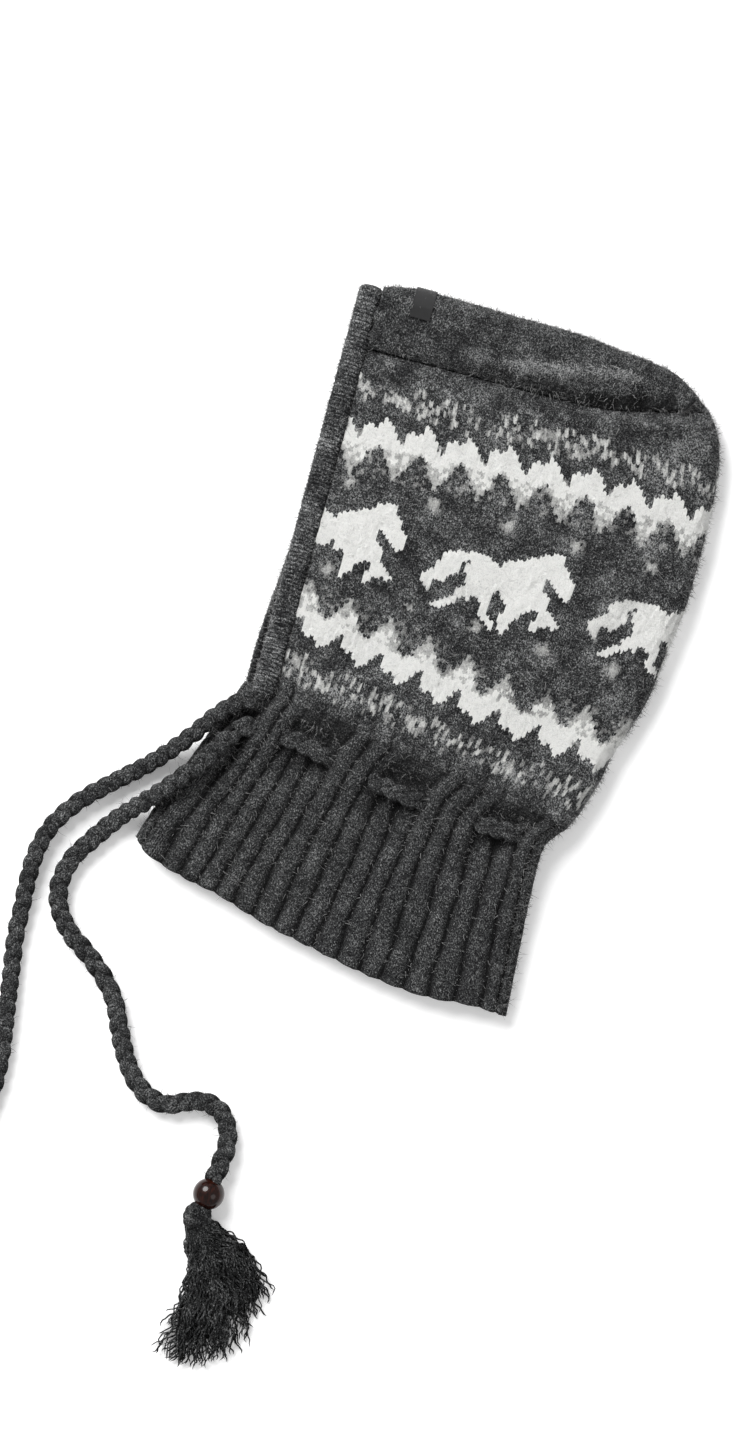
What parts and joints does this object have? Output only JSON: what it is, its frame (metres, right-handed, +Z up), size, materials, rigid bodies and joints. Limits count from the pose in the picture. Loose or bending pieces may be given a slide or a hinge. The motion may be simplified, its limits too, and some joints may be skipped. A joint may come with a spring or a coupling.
{
  "type": "knit drawcord hood",
  "caption": "Knitted hood lying flat on its side: jacquard body, crown panel, rolled face band, gathered rib neck and a threaded drawcord that ends in wooden beads and yarn tassels.",
  "frame": {"origin": "centre of the hood's box in plan, on the surface that it lies on, without the free cord tails", "axes": "+X from the face opening to the back of the head, +Y from the hem to the crown, +Z up from the surface"},
  "size_m": [0.3955, 0.7007, 0.0319],
  "materials": {
    "pattern_knit": "felted wool jacquard, charcoal with off-white and light grey pattern",
    "plain_knit": "felted charcoal melange wool knit",
    "rib_knit": "felted charcoal melange wool rib",
    "cord_yarn": "braided charcoal wool yarn",
    "dark_wood": "dark reddish brown polished wood",
    "tab_satin": "black woven satin"
  },
  "bodies": {
    "root": {"hood_body": "pattern_knit", "crown_panel": "plain_knit", "face_band": "plain_knit", "neck_rib": "rib_knit", "drawcord": "cord_yarn", "drawcord_tail_near": "cord_yarn", "drawcord_tail_far": "cord_yarn", "bead_near": "dark_wood", "bead_far": "dark_wood", "tassel_near": "cord_yarn", "tassel_far": "cord_yarn", "side_tab": "tab_satin"}
  },
  "joints": []
}
